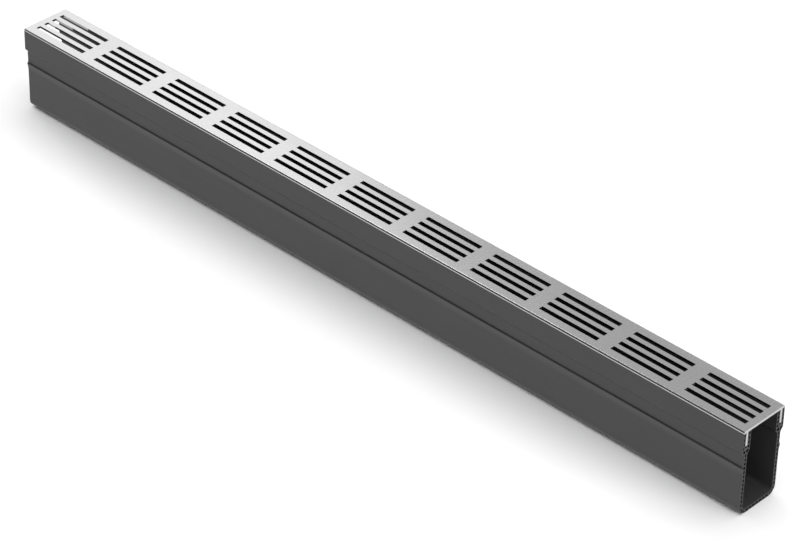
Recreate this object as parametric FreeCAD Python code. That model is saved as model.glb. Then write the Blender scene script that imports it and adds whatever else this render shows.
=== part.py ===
import FreeCAD, Part
import math
import os

# A straight length of slim drainage channel: a deep plastic profile with hollow chambers in its walls,
# whose two sides end at the top in forks, and a slotted cover grate with two legs that drop into them.
# Millimetres, +Z up. The origin is under the middle of the channel, on the face that it stands on.
# X runs along the channel. The section lies in YZ and is the same on both sides of its middle plane.

# Whole channel
length = 1000.0
width = 60.0

# Cover grate, one extrusion: a flat plate with two legs
plate_thickness = 2.5
plate_edge_radius = 1.8
plate_foot_radius = 0.3
leg_thickness = 2.5
leg_length = 16.0
leg_tip_radius = 0.7
leg_root_radius = 0.3

# Slots punched through the plate, in groups with a plain bridge between one group and the next
slot_length = 73.4
slot_width = 5.4
narrowest_bar = 4.6
shortest_bridge = 16.0
end_margin = 7.8
lip_margin = 0.1

# Walls of the channel body
body_height = 99.0
outer_lip = 3.3
inner_lip = 4.0
wall = 4.5
wall_inset = 3.3
floor = 4.8
outer_corner_radius = 10.0

# Forks that hold the legs, and the necks where they narrow down to the walls
fork_side_clearance = 0.45
fork_floor_clearance = 1.8
fork_floor_thickness = 3.3
lip_foot_drop = 1.7
neck_drop = 4.0
neck_radius = 0.8
lip_edge_radius = 0.45
fork_corner_radius = 0.4

# Anchoring nib along each outer face, which keys into the concrete, and the chamber that swells into it
nib_height_share = 0.793
nib_depth = 1.4
nib_upper_slope = 1.5
nib_lower_slope = 7.0
nib_tip_radius = 0.4
nib_foot_radius = 25.0
nib_extra_skin = 0.4
nib_chamber_drop = 0.65

# Chambers in the walls, with a thinner skin in the lips
skin = 1.2
lip_skin = 0.95
web = 1.4
chamber_pitch = 4.95
chamber_radius = 0.35
junction_chamber_height = 3.5
bend_chambers = 3
bend_row_angle = 60.0
bend_web_angle = 8.0
bend_web = 2.3

# The most of a side that the roundings at its two ends may take up between them
rounded_share = 0.95

# Places across and up the section that follow from the sizes above
half_width = width / 2
top = body_height + plate_thickness
fork_outer = half_width - outer_lip
fork_inner = fork_outer - leg_thickness - 2 * fork_side_clearance
fork_middle = (fork_outer + fork_inner) / 2
lip_inner = fork_inner - inner_lip
wall_outer = half_width - wall_inset
wall_inner = wall_outer - wall
leg_outer = fork_outer - fork_side_clearance
leg_inner = leg_outer - leg_thickness
leg_bottom = body_height - leg_length
fork_floor = leg_bottom - fork_floor_clearance
junction_top = fork_floor - fork_floor_thickness
junction_bottom = junction_top - junction_chamber_height
lip_foot = junction_top - lip_foot_drop
neck = lip_foot - neck_drop
nib_height = neck * nib_height_share
nib_chamber_bulge = nib_depth - nib_extra_skin
nib_chamber_top = nib_height - nib_chamber_drop + (chamber_pitch - web) / 2
nib_chamber_bottom = nib_chamber_top - (chamber_pitch - web)
inner_corner_radius = outer_corner_radius - wall
bend_y = wall_outer - outer_corner_radius
bend_z = outer_corner_radius
bend_outside = outer_corner_radius - skin
bend_inside = inner_corner_radius + skin
bend_middle_angle = -45.0
bend_chamber_angle = (bend_row_angle + bend_web_angle) / bend_chambers - bend_web_angle
bend_end_angle = math.radians(bend_middle_angle + bend_row_angle / 2)
bend_end = (bend_outside + bend_inside) / 2 * math.sin(bend_end_angle)


def section_point(y, z):
    """A point of the section, in the plane across the middle of the channel."""
    return FreeCAD.Vector(0, y, z)


def corner_arc(before, here, after):
    """The arc that rounds the corner at here, as its start, its middle and its end."""
    corner = section_point(here[0], here[1])
    to_before = (section_point(before[0], before[1]) - corner).normalize()
    to_after = (section_point(after[0], after[1]) - corner).normalize()
    half_angle = to_before.getAngle(to_after) / 2
    reach = here[2] / math.tan(half_angle)
    depth = here[2] / math.sin(half_angle) - here[2]
    inward = (to_before + to_after).normalize()
    return corner + to_before * reach, corner + inward * depth, corner + to_after * reach


def fitting(corners):
    """The same corners, with radii limited so that the roundings fit on the sides between them."""
    reaches = []
    for i, here in enumerate(corners):
        start, middle, end = corner_arc(corners[i - 1], here, corners[(i + 1) % len(corners)])
        reaches.append((start - section_point(here[0], here[1])).Length)
    shares = []
    for i, here in enumerate(corners):
        before = corners[i - 1]
        room = rounded_share * math.hypot(here[0] - before[0], here[1] - before[1])
        shares.append(room / max(room, reaches[i - 1] + reaches[i]))
    shares.append(shares[0])
    return [(y, z, radius * min(shares[i], shares[i + 1])) for i, (y, z, radius) in enumerate(corners)]


def rounded_wire(corners):
    """A closed wire through corners given as (y, z, radius), sharp where the radius is 0."""
    corners = fitting(corners)
    arrivals = []
    departures = []
    edges = []
    for i, here in enumerate(corners):
        if here[2] > 0:
            start, middle, end = corner_arc(corners[i - 1], here, corners[(i + 1) % len(corners)])
            edges.append(Part.Arc(start, middle, end).toShape())
        else:
            start = end = section_point(here[0], here[1])
        arrivals.append(start)
        departures.append(end)
    for i, arrival in enumerate(arrivals):
        edges.append(Part.LineSegment(departures[i - 1], arrival).toShape())
    return Part.Wire(Part.__sortEdges__(edges))


def mirrored(corners):
    """The same corners on the other side of the middle plane, in the opposite order."""
    return [(-y, z, radius) for y, z, radius in reversed(corners)]


def mirrored_wire(wire):
    """The same wire on the other side of the middle plane."""
    return wire.mirror(FreeCAD.Vector(0, 0, 0), FreeCAD.Vector(0, 1, 0))


def along_channel(outline, holes):
    """The solid that has this section along the whole channel."""
    section = Part.makeFace([outline] + holes, "Part::FaceMakerBullseye")
    solid = section.extrude(FreeCAD.Vector(length, 0, 0))
    solid.translate(FreeCAD.Vector(-length / 2, 0, 0))
    return solid.Solids[0]


def body_outline():
    """The outside of the body's section, open between the forks."""
    right = [
        (wall_outer, 0, outer_corner_radius),
        (wall_outer, nib_height - nib_lower_slope, nib_foot_radius),
        (wall_outer + nib_depth, nib_height, nib_tip_radius),
        (wall_outer, nib_height + nib_upper_slope, 0),
        (wall_outer, neck, neck_radius),
        (half_width, lip_foot, neck_radius),
        (half_width, body_height, lip_edge_radius),
        (fork_outer, body_height, lip_edge_radius),
        (fork_outer, fork_floor, fork_corner_radius),
        (fork_inner, fork_floor, fork_corner_radius),
        (fork_inner, body_height, lip_edge_radius),
        (lip_inner, body_height, lip_edge_radius),
        (lip_inner, lip_foot, neck_radius),
        (wall_inner, neck, neck_radius),
        (wall_inner, floor, inner_corner_radius),
    ]
    return rounded_wire(right + mirrored(right))


def chamber_spans(low, high):
    """Shares the stretch from low to high out between chambers of about the usual pitch."""
    count = max(1, round((high - low + web) / chamber_pitch))
    size = (high - low - (count - 1) * web) / count
    return [(low + i * (size + web), low + i * (size + web) + size) for i in range(count)]


def chamber(low_y, high_y, low_z, high_z, bulge=0.0):
    """A chamber with eased corners, whose outer side may swell into the nib."""
    corners = [(low_y, low_z, chamber_radius), (high_y, low_z, chamber_radius)]
    if bulge > 0:
        corners.append((high_y + bulge, (low_z + high_z) / 2, chamber_radius))
    corners.append((high_y, high_z, chamber_radius))
    corners.append((low_y, high_z, chamber_radius))
    return rounded_wire(corners)


def lip_chambers():
    """A column of chambers in each lip of the right fork."""
    chambers = []
    for low_y, high_y in ((lip_inner, fork_inner), (fork_outer, half_width)):
        for low_z, high_z in chamber_spans(junction_top + web, body_height - skin):
            chambers.append(chamber(low_y + lip_skin, high_y - lip_skin, low_z, high_z))
    return chambers


def junction_chamber(lip_face, wall_face):
    """A chamber under the fork, between its middle web and the slope that leads down to the wall."""
    side = 1 if lip_face > fork_middle else -1
    slope_run = side * (lip_face - wall_face)
    slope = math.hypot(slope_run, neck_drop)
    slope_skin = skin * slope / neck_drop
    lip_side = side * (lip_face - fork_middle) - skin
    web_side = web / 2
    knee = lip_foot + (slope_skin - skin) * neck_drop / slope_run
    foot = lip_side - (knee - junction_bottom) * slope_run / neck_drop
    corners = [
        (web_side, junction_bottom),
        (foot, junction_bottom),
        (lip_side, knee),
        (lip_side, junction_top),
        (web_side, junction_top),
    ]
    return rounded_wire([(fork_middle + side * reach, z, chamber_radius) for reach, z in corners])


def wall_chambers():
    """The column of chambers in the right wall: those below the nib, the one behind it, those above."""
    low_y = wall_inner + skin
    high_y = wall_outer - skin
    below = chamber_spans(bend_z + bend_end + bend_web, nib_chamber_bottom - web)
    above = chamber_spans(nib_chamber_top + web, junction_bottom - web)
    chambers = [chamber(low_y, high_y, low_z, high_z) for low_z, high_z in below + above]
    chambers.append(chamber(low_y, high_y, nib_chamber_bottom, nib_chamber_top, nib_chamber_bulge))
    return chambers


def bend_point(radius, angle):
    """A point on a circle about the centre of the right-hand bend, at an angle in degrees above +Y."""
    turn = math.radians(angle)
    return section_point(bend_y + radius * math.cos(turn), bend_z + radius * math.sin(turn))


def bend_chamber(first, last):
    """A chamber that follows the bend from the floor into the wall, between two angles."""
    middle = (first + last) / 2
    inner = [bend_point(bend_inside, angle) for angle in (first, middle, last)]
    outer = [bend_point(bend_outside, angle) for angle in (first, middle, last)]
    edges = [
        Part.Arc(inner[0], inner[1], inner[2]).toShape(),
        Part.LineSegment(inner[2], outer[2]).toShape(),
        Part.Arc(outer[2], outer[1], outer[0]).toShape(),
        Part.LineSegment(outer[0], inner[0]).toShape(),
    ]
    return Part.Wire(edges)


def bend_chamber_row():
    """The chambers in the right-hand bend, from the floor up to the wall."""
    first = bend_middle_angle - bend_row_angle / 2
    pitch = bend_chamber_angle + bend_web_angle
    starts = [first + i * pitch for i in range(bend_chambers)]
    return [bend_chamber(start, start + bend_chamber_angle) for start in starts]


def floor_chambers():
    """The row of chambers across the floor."""
    reach = bend_y - bend_end - bend_web
    return [chamber(low_y, high_y, skin, floor - skin) for low_y, high_y in chamber_spans(-reach, reach)]


def channel_body():
    """The channel's profile, with all its chambers open at both ends."""
    right = lip_chambers() + wall_chambers() + bend_chamber_row()
    right.append(junction_chamber(half_width, wall_outer))
    right.append(junction_chamber(lip_inner, wall_inner))
    left = [mirrored_wire(wire) for wire in right]
    return along_channel(body_outline(), right + left + floor_chambers())


def spread(size, smallest_gap, reach):
    """The middles of as many slots as fit between -reach and reach, with even gaps between them."""
    count = max(1, int((2 * reach + smallest_gap) // (size + smallest_gap)))
    pitch = (2 * reach - size) / max(count - 1, 1)
    return [(i - (count - 1) / 2) * pitch for i in range(count)]


def slot_places():
    """The middle of each slot, as (x, y)."""
    along = spread(slot_length, shortest_bridge, length / 2 - end_margin)
    across = spread(slot_width, narrowest_bar, lip_inner - lip_margin)
    return [(x, y) for x in along for y in across]


def slot_cutter():
    """The shape of one slot, a plate's thickness longer above and below, centred over the origin."""
    corner = FreeCAD.Vector(-slot_length / 2, -slot_width / 2, body_height - plate_thickness)
    return Part.makeBox(slot_length, slot_width, 3 * plate_thickness, corner)


def cover_grate():
    """The plate and its legs, resting on the lips of the forks."""
    right = [
        (leg_inner, body_height, leg_root_radius),
        (leg_inner, leg_bottom, leg_tip_radius),
        (leg_outer, leg_bottom, leg_tip_radius),
        (leg_outer, body_height, leg_root_radius),
        (half_width, body_height, plate_foot_radius),
        (half_width, top, plate_edge_radius),
    ]
    blank = along_channel(rounded_wire(right + mirrored(right)), [])
    cutter = slot_cutter()
    slots = [cutter.translated(FreeCAD.Vector(x, y, 0)) for x, y in slot_places()]
    return blank.cut(slots).Solids[0]


os.makedirs("parts", exist_ok=True)
channel_body().exportStep("parts/channel_body.step")
cover_grate().exportStep("parts/cover_grate.step")
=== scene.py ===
"""A length of slim drainage channel: hollow-chamber plastic under a slotted aluminium cover."""
import math

import bpy
from mathutils import Matrix, Vector


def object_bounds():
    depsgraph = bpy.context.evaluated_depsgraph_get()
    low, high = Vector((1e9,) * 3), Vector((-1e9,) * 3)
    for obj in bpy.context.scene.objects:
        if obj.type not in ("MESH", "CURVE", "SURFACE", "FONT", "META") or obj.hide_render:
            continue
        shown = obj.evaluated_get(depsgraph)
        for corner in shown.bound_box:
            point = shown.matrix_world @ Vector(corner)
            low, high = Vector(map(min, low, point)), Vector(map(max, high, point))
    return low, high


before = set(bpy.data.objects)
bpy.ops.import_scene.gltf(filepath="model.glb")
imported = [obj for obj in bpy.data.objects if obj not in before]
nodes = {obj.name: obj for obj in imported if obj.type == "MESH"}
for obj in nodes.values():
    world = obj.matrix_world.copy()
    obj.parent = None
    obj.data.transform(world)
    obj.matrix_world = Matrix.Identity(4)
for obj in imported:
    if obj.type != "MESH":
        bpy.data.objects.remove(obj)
cad_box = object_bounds()
scene = bpy.context.scene
channel_half_width = cad_box[1][1]


# Node trees


def grey(level):
    """A neutral colour."""
    return (level, level, level, 1.0)


class NodeTree:
    """Builds the node tree of a material or a world, node by node."""

    def __init__(self, owner, output):
        owner.use_nodes = True
        self.tree = owner.node_tree
        self.tree.nodes.clear()
        self.output = self.add(output)

    def add(self, kind, **settings):
        """Adds a node."""
        node = self.tree.nodes.new(kind)
        for key, value in settings.items():
            setattr(node, key, value)
        return node

    def link(self, source, target):
        """Links two sockets."""
        self.tree.links.new(source, target)

    def put(self, value, target):
        """Links a socket, or sets a plain number, vector or colour."""
        if isinstance(value, bpy.types.NodeSocket):
            self.link(value, target)
        else:
            target.default_value = value

    def show(self, shader):
        """Shows a shader on the surface."""
        self.link(shader, self.output.inputs["Surface"])

    def place(self):
        """The place in the object's own frame, in metres."""
        return self.add("ShaderNodeTexCoord").outputs["Object"]

    def part(self, vector, axis):
        """One part of a vector: X, Y or Z."""
        node = self.add("ShaderNodeSeparateXYZ")
        self.link(vector, node.inputs[0])
        return node.outputs[axis]

    def across(self):
        """The distance from the middle of the channel's width."""
        return self.math("ABSOLUTE", self.part(self.place(), "Y"))

    def facing(self, axis):
        """How squarely the surface faces along one axis of the object, from 0 to 1."""
        normal = self.add("ShaderNodeTexCoord").outputs["Normal"]
        return self.math("ABSOLUTE", self.part(normal, axis))

    def sawn_end(self):
        """1 on the faces that are sawn square to the length, else 0."""
        return self.ramp(self.facing("X"), 0.8, 0.95)

    def noise(self, per_metre, roughness=0.5):
        """Noise from 0 to 1, with the number of features in a metre along X, Y and Z."""
        stretch = self.add("ShaderNodeMapping")
        self.link(self.place(), stretch.inputs["Vector"])
        stretch.inputs["Scale"].default_value = per_metre
        node = self.add("ShaderNodeTexNoise")
        self.link(stretch.outputs["Vector"], node.inputs["Vector"])
        node.inputs["Scale"].default_value = 1.0
        node.inputs["Detail"].default_value = 3.0
        node.inputs["Roughness"].default_value = roughness
        return node.outputs["Fac"]

    def clouds(self, per_metre):
        """Soft patches, from 0 to 1."""
        return self.ramp(self.noise(per_metre), 0.3, 0.7)

    def math(self, operation, first, second=0.0):
        """Works out one number from two."""
        node = self.add("ShaderNodeMath", operation=operation)
        self.put(first, node.inputs[0])
        self.put(second, node.inputs[1])
        return node.outputs[0]

    def times(self, first, second):
        """The product of two numbers."""
        return self.math("MULTIPLY", first, second)

    def ramp(self, value, start, end, from_level=0.0, to_level=1.0, smooth=False):
        """Goes from one level to the other as the value goes from start to end."""
        node = self.add("ShaderNodeMapRange")
        node.interpolation_type = "SMOOTHSTEP" if smooth else "LINEAR"
        for item, target in zip((value, start, end, from_level, to_level), node.inputs):
            self.put(item, target)
        return node.outputs[0]

    def between(self, factor, first, second):
        """Goes from the first number to the second as the factor goes from 0 to 1."""
        return self.ramp(factor, 0.0, 1.0, first, second)

    def inside(self, value, low, high):
        """1 where the value lies between two limits, else 0."""
        edge = 0.0001
        above = self.ramp(value, low, low + edge)
        below = self.ramp(value, high - edge, high, 1.0, 0.0)
        return self.times(above, below)

    def blend(self, factor, first, second):
        """Mixes two colours."""
        node = self.add("ShaderNodeMix", data_type="RGBA")
        self.put(factor, node.inputs["Factor"])
        self.put(first, node.inputs["A"])
        self.put(second, node.inputs["B"])
        return node.outputs["Result"]

    def mix(self, factor, first, second):
        """Mixes two shaders."""
        node = self.add("ShaderNodeMixShader")
        self.link(factor, node.inputs[0])
        self.link(first, node.inputs[1])
        self.link(second, node.inputs[2])
        return node.outputs[0]

    def bump(self, height, strength, distance):
        """Roughens the surface by a height from 0 to 1."""
        node = self.add("ShaderNodeBump")
        self.link(height, node.inputs["Height"])
        node.inputs["Strength"].default_value = strength
        node.inputs["Distance"].default_value = distance
        return node.outputs["Normal"]

    def principled(self, metallic, colour, roughness, normal):
        """Shows one opaque surface, metal or not."""
        shader = self.add("ShaderNodeBsdfPrincipled")
        shader.inputs["Metallic"].default_value = metallic
        self.link(colour, shader.inputs["Base Color"])
        self.link(roughness, shader.inputs["Roughness"])
        self.link(normal, shader.inputs["Normal"])
        self.show(shader.outputs[0])


def new_material(name):
    """A material with its empty node tree."""
    material = bpy.data.materials.new(name)
    return material, NodeTree(material, "ShaderNodeOutputMaterial")


def dress(node, material):
    """Gives a CAD node its material."""
    mesh = nodes[node].data
    mesh.materials.clear()
    mesh.materials.append(material)


# Plastic of the channel

# Each zone of chambers, where painted shade darkens the chamber walls: its limits across from
# the middle, and up from the foot, in metres
CHAMBER_ZONES = {
    "wall": ((0.0228, 0.0261), (0.005, 0.0785)),
    "inner lip": ((0.0198, 0.0227), (0.0745, 0.0982)),
    "outer lip": ((0.0273, 0.0294), (0.0745, 0.0982)),
    "floor": ((-0.001, 0.0225), (0.0006, 0.0042)),
}


def chamber_shade_mask(m):
    """1 on the walls of the small chambers, which lie between the skins of the profile and take
    painted shade.
    """
    across = m.across()
    height = m.part(m.place(), "Z")
    mask = 0.0
    for wide, high in CHAMBER_ZONES.values():
        zone = m.times(m.inside(across, *wide), m.inside(height, *high))
        mask = m.math("MAXIMUM", mask, zone)
    return mask


def plastic():
    """Dark grey plastic with fine lines from the die, a dull sawn end, and painted shade inside
    the small chambers.
    """
    skin_colours = grey(0.0385), grey(0.0435)
    sawn_colours = grey(0.0375), grey(0.054)
    # Painted shade: a near-black colour on the chamber walls, standing in for the shade deep
    # inside the chambers
    painted_chamber_shade = grey(0.010)
    skin_roughness = 0.36, 0.46
    sawn_roughness = 0.62
    line_height, saw_height = 0.5, 2.0

    material, m = new_material("dark_grey_pvc")
    sawn = m.sawn_end()
    die_lines = m.noise((6.0, 900.0, 900.0))
    saw_marks = m.noise((400.0, 260.0, 2600.0), roughness=0.6)

    skin = m.blend(m.clouds((14.0, 40.0, 40.0)), *skin_colours)
    # Painted shade darkens the chamber walls
    colour = m.blend(chamber_shade_mask(m), skin, painted_chamber_shade)
    colour = m.blend(sawn, colour, m.blend(saw_marks, *sawn_colours))
    sheen = m.ramp(die_lines, 0.25, 0.75, *skin_roughness)
    roughness = m.between(sawn, sheen, sawn_roughness)
    height = m.math(
        "ADD",
        m.times(die_lines, line_height),
        m.times(m.times(saw_marks, sawn), saw_height),
    )
    normal = m.bump(height, strength=0.25, distance=0.00006)
    m.principled(0.0, colour, roughness, normal)
    return material


# Aluminium of the cover

# Upright faces nearer to the middle of the width than this are walls of the slots, which take
# painted shade
SLOTTED_HALF_WIDTH = 0.0205


def aluminium():
    """Satin aluminium, brushed across the top, with a sawn end, smooth walls in the slots, and
    painted shade on the upright sides, the steep part of the rounded edges and the slot walls.
    """
    top_colours = grey(0.805), grey(0.845)
    brush_colour, brush_share = grey(0.705), 0.12
    # Painted shade: a darker colour on the upright sides and the steep part of the rounded
    # edges, so that their reflections look dim
    painted_side_shade = grey(0.515)
    # Painted shade: a darker colour on the slot walls, standing in for the shade inside the
    # slots
    painted_slot_shade = grey(0.405)
    sawn_colour = grey(0.665)
    top_roughness = 0.25, 0.28
    side_roughness = 0.16
    slot_roughness = 0.05
    sawn_roughness = 0.34
    brush_height = 0.4

    material, m = new_material("satin_aluminium")
    upward = m.facing("Z")
    flat = m.ramp(upward, 0.9, 0.99)
    upright = m.ramp(upward, 0.75, 0.95, 1.0, 0.0)
    slot_wall = m.times(upright, m.inside(m.across(), -0.001, SLOTTED_HALF_WIDTH))
    sawn = m.sawn_end()
    brush = m.noise((2200.0, 25.0, 300.0), roughness=0.6)
    saw_marks = m.noise((400.0, 300.0, 2600.0), roughness=0.6)

    colour = m.blend(m.clouds((9.0, 40.0, 40.0)), *top_colours)
    colour = m.blend(m.times(brush, brush_share), colour, brush_colour)
    # Painted shade on the upright sides and the steep part of the rounded edges
    colour = m.blend(upright, colour, painted_side_shade)
    # Painted shade on the slot walls
    colour = m.blend(slot_wall, colour, painted_slot_shade)
    colour = m.blend(sawn, colour, sawn_colour)
    brushed = m.ramp(brush, 0.3, 0.7, *top_roughness)
    roughness = m.between(flat, side_roughness, brushed)
    roughness = m.between(slot_wall, roughness, slot_roughness)
    roughness = m.between(sawn, roughness, sawn_roughness)
    height = m.math(
        "ADD",
        m.times(m.times(brush, flat), brush_height),
        m.times(saw_marks, sawn),
    )
    normal = m.bump(height, strength=0.1, distance=0.00002)
    m.principled(1.0, colour, roughness, normal)
    return material


dress("channel_body", plastic())
dress("cover_grate", aluminium())


# Floor and surroundings

# The floor's width, its gap under the channel and where it fades into the background, in metres
FLOOR_SIZE = 20.0
FLOOR_GAP = 0.0002
FLOOR_FADE = 0.9, 1.9
# The floor's colour where it throws light back onto the object
FLOOR_LIGHTNESS = 0.8
# In mirrors the floor darkens from just in front of the channel's side to just under it
SHADOW_EDGES = channel_half_width - 0.003, channel_half_width + 0.006
SHADOW_LEVEL = 0.65
# The level of the studio away from its pale sides
DIM_LEVEL = 0.06
# Each pale side: its direction, how squarely a view along it starts and ends the rise, its level
PALE_SIDES = {
    "back": ((0.0, 1.0, 0.0), (-0.2, 0.6), 0.375),
    "front right": ((0.5, -0.866, 0.0), (0.5, 0.85), 0.25),
}


def floor_material():
    """White under the lamps, fading into the plain white background further out."""
    material, m = new_material("pale_floor")
    rays = m.add("ShaderNodeLightPath").outputs

    # The camera sees the lit floor near the channel, and plain white further out
    reach = m.add("ShaderNodeVectorMath", operation="LENGTH")
    m.link(m.place(), reach.inputs[0])
    far = m.ramp(reach.outputs["Value"], *FLOOR_FADE, smooth=True)
    seen = m.add("ShaderNodeBsdfDiffuse")
    seen.inputs["Color"].default_value = grey(1.0)
    lit = m.add("ShaderNodeBsdfDiffuse")
    lit.inputs["Color"].default_value = grey(FLOOR_LIGHTNESS)
    white = m.add("ShaderNodeEmission")
    white.inputs["Strength"].default_value = 1.0
    in_view = m.mix(far, seen.outputs[0], white.outputs[0])
    direct = m.mix(rays["Is Camera Ray"], lit.outputs[0], in_view)

    # Mirrors show it white but for the contact shadow along the channel's foot
    pale = m.add("ShaderNodeEmission")
    m.link(m.ramp(m.across(), *SHADOW_EDGES, SHADOW_LEVEL, 1.0), pale.inputs["Strength"])
    mirror_ray = m.math("MAXIMUM", rays["Is Glossy Ray"], rays["Is Transmission Ray"])
    m.show(m.mix(mirror_ray, direct, pale.outputs[0]))
    return material


def lay_floor():
    """A flat square floor just under the channel."""
    half = FLOOR_SIZE / 2
    corners = [(-half, -half, 0), (half, -half, 0), (half, half, 0), (-half, half, 0)]
    mesh = bpy.data.meshes.new("floor")
    mesh.from_pydata(corners, [], [(0, 1, 2, 3)])
    mesh.materials.append(floor_material())
    floor = bpy.data.objects.new("floor", mesh)
    scene.collection.objects.link(floor)
    floor.location.z = -FLOOR_GAP


def surroundings():
    """A dim studio, paler on two sides, that is white where the camera sees it."""
    scene.world = bpy.data.worlds.new("studio")
    w = NodeTree(scene.world, "ShaderNodeOutputWorld")
    direction = w.add("ShaderNodeTexCoord").outputs["Generated"]
    level = 0.0
    for heading, edges, pale_level in PALE_SIDES.values():
        toward = w.add("ShaderNodeVectorMath", operation="DOT_PRODUCT")
        w.link(direction, toward.inputs[0])
        toward.inputs[1].default_value = heading
        side = w.ramp(toward.outputs["Value"], *edges, DIM_LEVEL, pale_level)
        level = w.math("MAXIMUM", level, side)
    studio = w.add("ShaderNodeBackground")
    w.link(level, studio.inputs["Color"])
    white = w.add("ShaderNodeBackground")
    white.inputs["Color"].default_value = grey(1.0)
    camera_ray = w.add("ShaderNodeLightPath").outputs["Is Camera Ray"]
    w.show(w.mix(camera_ray, studio.outputs[0], white.outputs[0]))


lay_floor()
surroundings()


# Lamps

# The radiance that metal mirrors of each large lamp, so that the bare cover doesn't burn out
MIRRORED_RADIANCE = 0.7
# How far the mirrored layer stands in front of the other, as a share of the way to the target
LAYER_STEP = 0.01
# Each large lamp: its place, the point that it faces, its width and height, and its radiance
LARGE_LAMPS = {
    "overhead": ((0.9, 0, 5.0), (0.9, 0, 0), (4.6, 6.8), 2.08),
    "right_end": ((3.2, 0, 1.1), (0, 0, 0.2), (2.4, 1.6), 5.0),
    "left_end": ((-3.2, 0, 1.1), (0, 0, 0.2), (2.4, 1.6), 4.4),
}
# The panels' right edge, in degrees left of +Y, ends the bright stretch of the cover
PANEL_EDGE = 43.3
PANEL_DISTANCE = 1.9
# Each panel at the back left: its width in degrees, its lowest and highest level, its radiance
PANELS = {
    "panel": (56.0, (0.7, 2.4), 0.66),
    "upper_panel": (27.0, (2.0, 3.0), 2.0),
}


def softbox(name, centre, target, size, radiance):
    """A rectangular lamp that faces its target, with the radiance of its surface given."""
    width, height = size
    light = bpy.data.lights.new(name, "AREA")
    light.shape = "RECTANGLE"
    light.size = width
    light.size_y = height
    light.energy = radiance * math.pi * width * height
    lamp = bpy.data.objects.new(name, light)
    scene.collection.objects.link(lamp)
    lamp.location = centre
    lamp.rotation_mode = "QUATERNION"
    lamp.rotation_quaternion = (Vector(target) - Vector(centre)).to_track_quat("-Z", "Y")
    return lamp


def large_lamp(name, centre, target, size, radiance):
    """A lamp in two layers, of which metal mirrors only the nearer and fainter one."""
    softbox(name, centre, target, size, radiance - MIRRORED_RADIANCE).visible_glossy = False
    nearer = Vector(centre).lerp(Vector(target), LAYER_STEP)
    softbox(name + "_mirrored", nearer, target, size, MIRRORED_RADIANCE)


def panel_lamp(name, view, levels, radiance):
    """An upright panel that faces the channel from the back left."""
    low, high = levels
    half_view = math.radians(view) / 2
    heading = math.radians(PANEL_EDGE) + half_view
    outward = Vector((-math.sin(heading), math.cos(heading), 0))
    centre = outward * PANEL_DISTANCE + Vector((0, 0, (low + high) / 2))
    width = 2 * PANEL_DISTANCE * math.tan(half_view)
    softbox(name, centre, centre - outward, (width, high - low), radiance)


for lamp_name, lamp_facts in LARGE_LAMPS.items():
    large_lamp(lamp_name, *lamp_facts)
for lamp_name, lamp_facts in PANELS.items():
    panel_lamp(lamp_name, *lamp_facts)


# Camera


def camera():
    """The photograph's camera, found from the object's own lines."""
    azimuth, elevation, roll = (math.radians(a) for a in (43.1043, 35.1194, 1.2776))
    distance = 3.5280959
    target = Vector((0.0287522, 0.0063928, 0.0289223))
    focal_pixels, picture_width, sensor = 3488.3749, 800.0, 36.0
    back = Vector((
        math.sin(azimuth) * math.cos(elevation),
        -math.cos(azimuth) * math.cos(elevation),
        math.sin(elevation),
    ))
    right = Vector((math.cos(azimuth), math.sin(azimuth), 0.0))
    up = back.cross(right)
    turned_right = math.cos(roll) * right + math.sin(roll) * up
    turned_up = -math.sin(roll) * right + math.cos(roll) * up
    data = bpy.data.cameras.new("camera")
    data.sensor_width = sensor
    data.lens = focal_pixels / picture_width * sensor
    data.clip_start = 0.1
    data.clip_end = 100.0
    eye = bpy.data.objects.new("camera", data)
    scene.collection.objects.link(eye)
    turn = Matrix((turned_right, turned_up, back)).transposed()
    eye.matrix_world = Matrix.Translation(target + back * distance) @ turn.to_4x4()
    scene.camera = eye


camera()
scene.view_settings.view_transform = "Standard"
